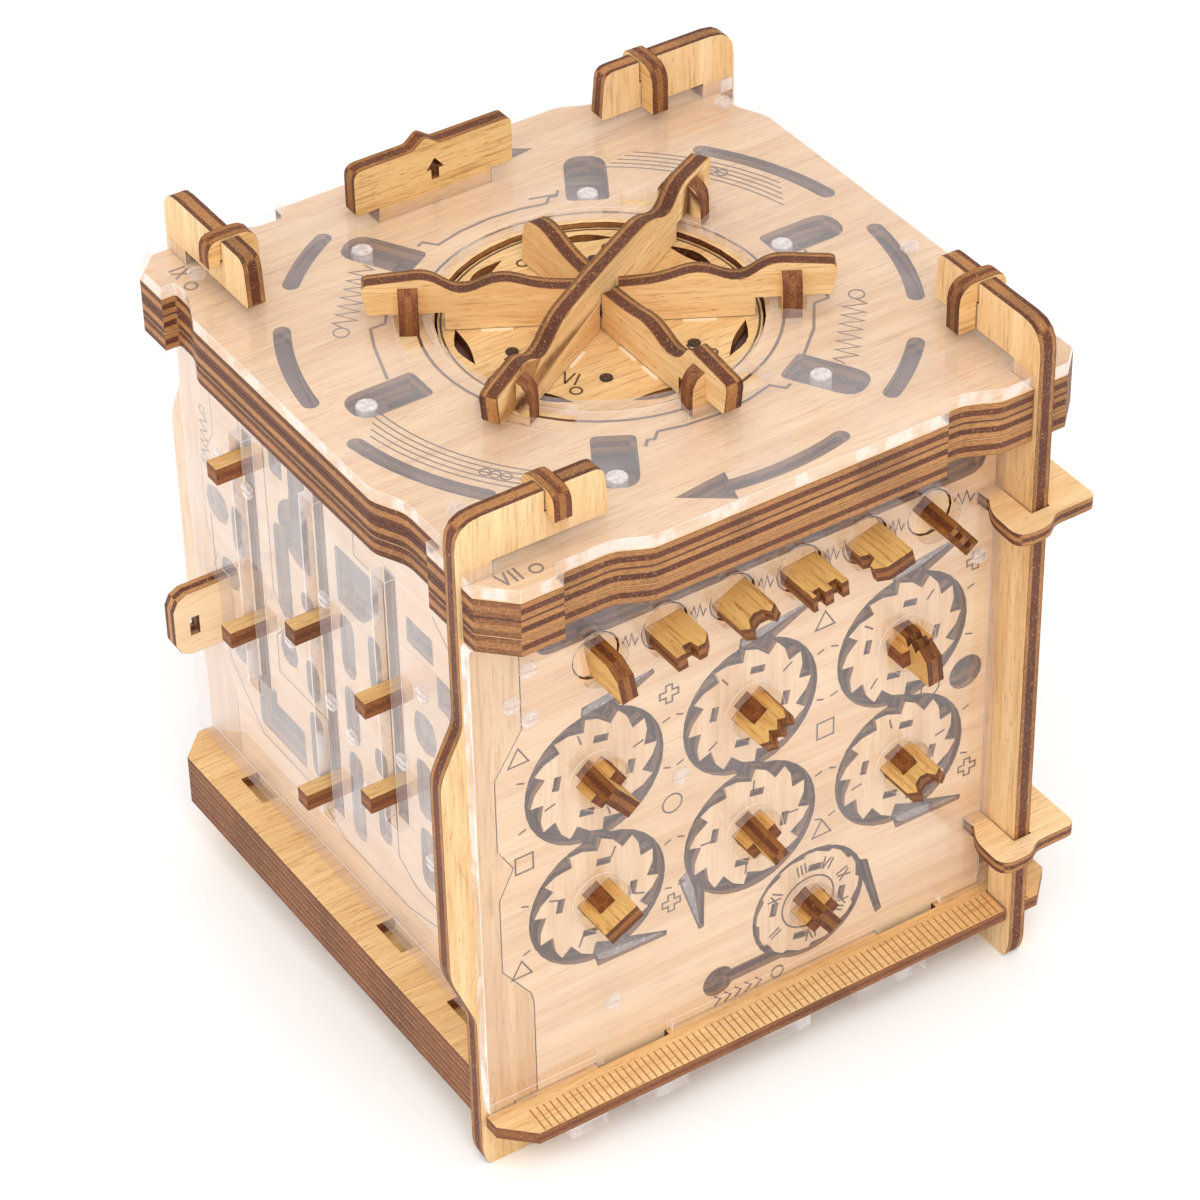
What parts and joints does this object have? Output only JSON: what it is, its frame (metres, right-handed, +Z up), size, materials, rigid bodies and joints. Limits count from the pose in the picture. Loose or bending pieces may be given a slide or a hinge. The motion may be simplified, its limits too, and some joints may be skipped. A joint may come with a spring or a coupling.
{
  "type": "mechanical puzzle box",
  "caption": "Cube-shaped laser-cut plywood and clear acrylic puzzle box with a star turn-handle on the lid, ratchet dials, keys and sliding blocks, held by corner clamps.",
  "frame": {"origin": "centre of the box's footprint, at the plane the clamp feet stand on", "axes": "+Z up, the dial face looks along -Y, the slider face along -X"},
  "size_m": [0.153, 0.153, 0.1669],
  "materials": {
    "birch_ply": "matt laser-cut birch plywood",
    "birch_ply_covered": "matt laser-cut birch plywood behind acrylic",
    "grey_board": "matt",
    "clear_acrylic": "clear polished"
  },
  "bodies": {
    "box": {"foot_sheet": "birch_ply", "base_sheet_lower": "birch_ply", "base_sheet_middle": "birch_ply", "base_sheet_top": "birch_ply", "lid_bottom_sheet": "birch_ply", "lid_middle_sheet": "birch_ply", "collar_upper": "birch_ply", "collar_lower": "birch_ply", "clamp_front_left": "birch_ply", "clamp_back_left": "birch_ply", "clamp_back_right": "birch_ply", "clamp_front_right": "birch_ply", "front_panel": "birch_ply_covered", "left_panel": "birch_ply_covered", "back_panel": "birch_ply_covered", "right_panel": "birch_ply_covered", "lid_top_sheet": "birch_ply_covered", "front_backboard": "grey_board", "left_backboard": "grey_board", "base_cover": "clear_acrylic", "front_cover": "clear_acrylic", "left_cover": "clear_acrylic", "back_cover": "clear_acrylic", "right_cover": "clear_acrylic", "lid_cover": "clear_acrylic"},
    "star_handle": {"star_bar_upper": "birch_ply", "star_bar_middle": "birch_ply", "star_bar_lower": "birch_ply", "turn_disc": "birch_ply", "cam_plate": "grey_board"},
    "arrow_plate": {"arrow_plate": "birch_ply"},
    "key_1": {"key_1": "birch_ply"},
    "key_2": {"key_2": "birch_ply"},
    "key_3": {"key_3": "birch_ply"},
    "key_4": {"key_4": "birch_ply"},
    "key_5": {"key_5": "birch_ply"},
    "key_6": {"key_6": "birch_ply"},
    "slider_1": {"slider_1": "birch_ply"},
    "slider_2": {"slider_2": "birch_ply"},
    "slider_3": {"slider_3": "birch_ply"},
    "slider_4": {"slider_4": "birch_ply"},
    "slider_5": {"slider_5": "birch_ply"},
    "slider_6": {"slider_6": "birch_ply"},
    "wedge_front_left": {"wedge_front_left": "birch_ply"},
    "wedge_back_left": {"wedge_back_left": "birch_ply"},
    "wedge_back_right": {"wedge_back_right": "birch_ply"},
    "wedge_front_right": {"wedge_front_right": "birch_ply"},
    "selector_dial": {"selector_dial": "birch_ply_covered"},
    "dial_1": {"dial_1": "birch_ply_covered"},
    "dial_2": {"dial_2": "birch_ply_covered"},
    "dial_3": {"dial_3": "birch_ply_covered"},
    "dial_4": {"dial_4": "birch_ply_covered"},
    "dial_5": {"dial_5": "birch_ply_covered"},
    "dial_6": {"dial_6": "birch_ply_covered"},
    "lock_bolt_1": {"lock_bolt_1": "clear_acrylic"},
    "lock_bolt_2": {"lock_bolt_2": "clear_acrylic"},
    "lock_bolt_3": {"lock_bolt_3": "clear_acrylic"},
    "lock_bolt_4": {"lock_bolt_4": "clear_acrylic"},
    "lock_bolt_5": {"lock_bolt_5": "clear_acrylic"},
    "lock_bolt_6": {"lock_bolt_6": "clear_acrylic"}
  },
  "joints": [
    {"name": "star_turn", "type": "hinge", "parent": "box", "child": "star_handle", "pos_m": [0, 0, 0.15], "axis": [0, 0, 1], "range_deg": [0, 11]},
    {"name": "lock_bolt_1_slide", "type": "slide", "parent": "box", "child": "lock_bolt_1", "axis": [1, 0, 0], "range_m": [-0.0001, 0.0101]},
    {"name": "lock_bolt_2_slide", "type": "slide", "parent": "box", "child": "lock_bolt_2", "axis": [0.5, 0.866, 0], "range_m": [-0.0001, 0.0101]},
    {"name": "lock_bolt_3_slide", "type": "slide", "parent": "box", "child": "lock_bolt_3", "axis": [-0.5, 0.866, 0], "range_m": [-0.0101, 0.0001]},
    {"name": "lock_bolt_4_slide", "type": "slide", "parent": "box", "child": "lock_bolt_4", "axis": [-1, 0, 0], "range_m": [-0.0101, 0.0001]},
    {"name": "lock_bolt_5_slide", "type": "slide", "parent": "box", "child": "lock_bolt_5", "axis": [-0.5, -0.866, 0], "range_m": [-0.0101, 0.0001]},
    {"name": "lock_bolt_6_slide", "type": "slide", "parent": "box", "child": "lock_bolt_6", "axis": [0.5, -0.866, 0], "range_m": [-0.0001, 0.0061]},
    {"name": "dial_1_turn", "type": "hinge", "parent": "box", "child": "dial_1", "pos_m": [-0.0417, -0.05945, 0.0915], "axis": [0, -1, 0], "continuous": true},
    {"name": "dial_2_turn", "type": "hinge", "parent": "box", "child": "dial_2", "pos_m": [-0.0045, -0.05945, 0.0915], "axis": [0, -1, 0], "continuous": true},
    {"name": "dial_3_turn", "type": "hinge", "parent": "box", "child": "dial_3", "pos_m": [0.033, -0.05945, 0.0915], "axis": [0, -1, 0], "continuous": true},
    {"name": "dial_4_turn", "type": "hinge", "parent": "box", "child": "dial_4", "pos_m": [-0.0417, -0.05945, 0.0595], "axis": [0, -1, 0], "continuous": true},
    {"name": "dial_5_turn", "type": "hinge", "parent": "box", "child": "dial_5", "pos_m": [-0.0045, -0.05945, 0.0595], "axis": [0, -1, 0], "continuous": true},
    {"name": "dial_6_turn", "type": "hinge", "parent": "box", "child": "dial_6", "pos_m": [0.033, -0.05945, 0.0595], "axis": [0, -1, 0], "continuous": true},
    {"name": "selector_dial_turn", "type": "hinge", "parent": "box", "child": "selector_dial", "pos_m": [0.0104, -0.05945, 0.0316], "axis": [0, -1, 0], "continuous": true},
    {"name": "key_1_turn", "type": "hinge", "parent": "box", "child": "key_1", "pos_m": [-0.0408, -0.05945, 0.1214], "axis": [0, -1, 0], "range_deg": [-90, 90]},
    {"name": "key_2_turn", "type": "hinge", "parent": "box", "child": "key_2", "pos_m": [-0.0249, -0.05945, 0.1214], "axis": [0, -1, 0], "range_deg": [-90, 90]},
    {"name": "key_3_turn", "type": "hinge", "parent": "box", "child": "key_3", "pos_m": [-0.009, -0.05945, 0.1214], "axis": [0, -1, 0], "range_deg": [-90, 90]},
    {"name": "key_4_turn", "type": "hinge", "parent": "box", "child": "key_4", "pos_m": [0.0069, -0.05945, 0.1214], "axis": [0, -1, 0], "range_deg": [-90, 90]},
    {"name": "key_5_turn", "type": "hinge", "parent": "box", "child": "key_5", "pos_m": [0.0228, -0.05945, 0.1214], "axis": [0, -1, 0], "range_deg": [-90, 90]},
    {"name": "key_6_turn", "type": "hinge", "parent": "box", "child": "key_6", "pos_m": [0.0387, -0.05945, 0.1214], "axis": [0, -1, 0], "range_deg": [-90, 90]},
    {"name": "slider_1_slide", "type": "slide", "parent": "box", "child": "slider_1", "axis": [0, 0, 1], "range_m": [-0.0172, 0.0047]},
    {"name": "slider_2_slide", "type": "slide", "parent": "box", "child": "slider_2", "axis": [0, 0, 1], "range_m": [-0.0147, 0.0172]},
    {"name": "slider_3_slide", "type": "slide", "parent": "box", "child": "slider_3", "axis": [0, 0, 1], "range_m": [-0.01795, 0.0297]},
    {"name": "slider_4_slide", "type": "slide", "parent": "box", "child": "slider_4", "axis": [0, 0, 1], "range_m": [-0.0062, 0.01795]},
    {"name": "slider_5_slide", "type": "slide", "parent": "box", "child": "slider_5", "axis": [0, 0, 1], "range_m": [-0.0082, 0.0282]},
    {"name": "slider_6_slide", "type": "slide", "parent": "box", "child": "slider_6", "axis": [0, 0, 1], "range_m": [-0.0072, 0.0082]},
    {"name": "arrow_plate_lift", "type": "slide", "parent": "box", "child": "arrow_plate", "axis": [0, 0, 1], "range_m": [0, 0.009]},
    {"name": "wedge_front_left_lift", "type": "slide", "parent": "box", "child": "wedge_front_left", "axis": [0, 0, 1], "range_m": [0, 0.012]},
    {"name": "wedge_back_left_lift", "type": "slide", "parent": "box", "child": "wedge_back_left", "axis": [0, 0, 1], "range_m": [0, 0.012]},
    {"name": "wedge_back_right_lift", "type": "slide", "parent": "box", "child": "wedge_back_right", "axis": [0, 0, 1], "range_m": [0, 0.012]},
    {"name": "wedge_front_right_lift", "type": "slide", "parent": "box", "child": "wedge_front_right", "axis": [0, 0, 1], "range_m": [0, 0.012]}
  ],
  "couplings": [
    {"joint": "lock_bolt_1_slide", "follows": "star_turn", "m_per_rad": 0.052087},
    {"joint": "lock_bolt_2_slide", "follows": "star_turn", "m_per_rad": 0.052087},
    {"joint": "lock_bolt_3_slide", "follows": "star_turn", "m_per_rad": -0.052087},
    {"joint": "lock_bolt_4_slide", "follows": "star_turn", "m_per_rad": -0.052087},
    {"joint": "lock_bolt_5_slide", "follows": "star_turn", "m_per_rad": -0.052087},
    {"joint": "lock_bolt_6_slide", "follows": "star_turn", "m_per_rad": 0.031252}
  ]
}
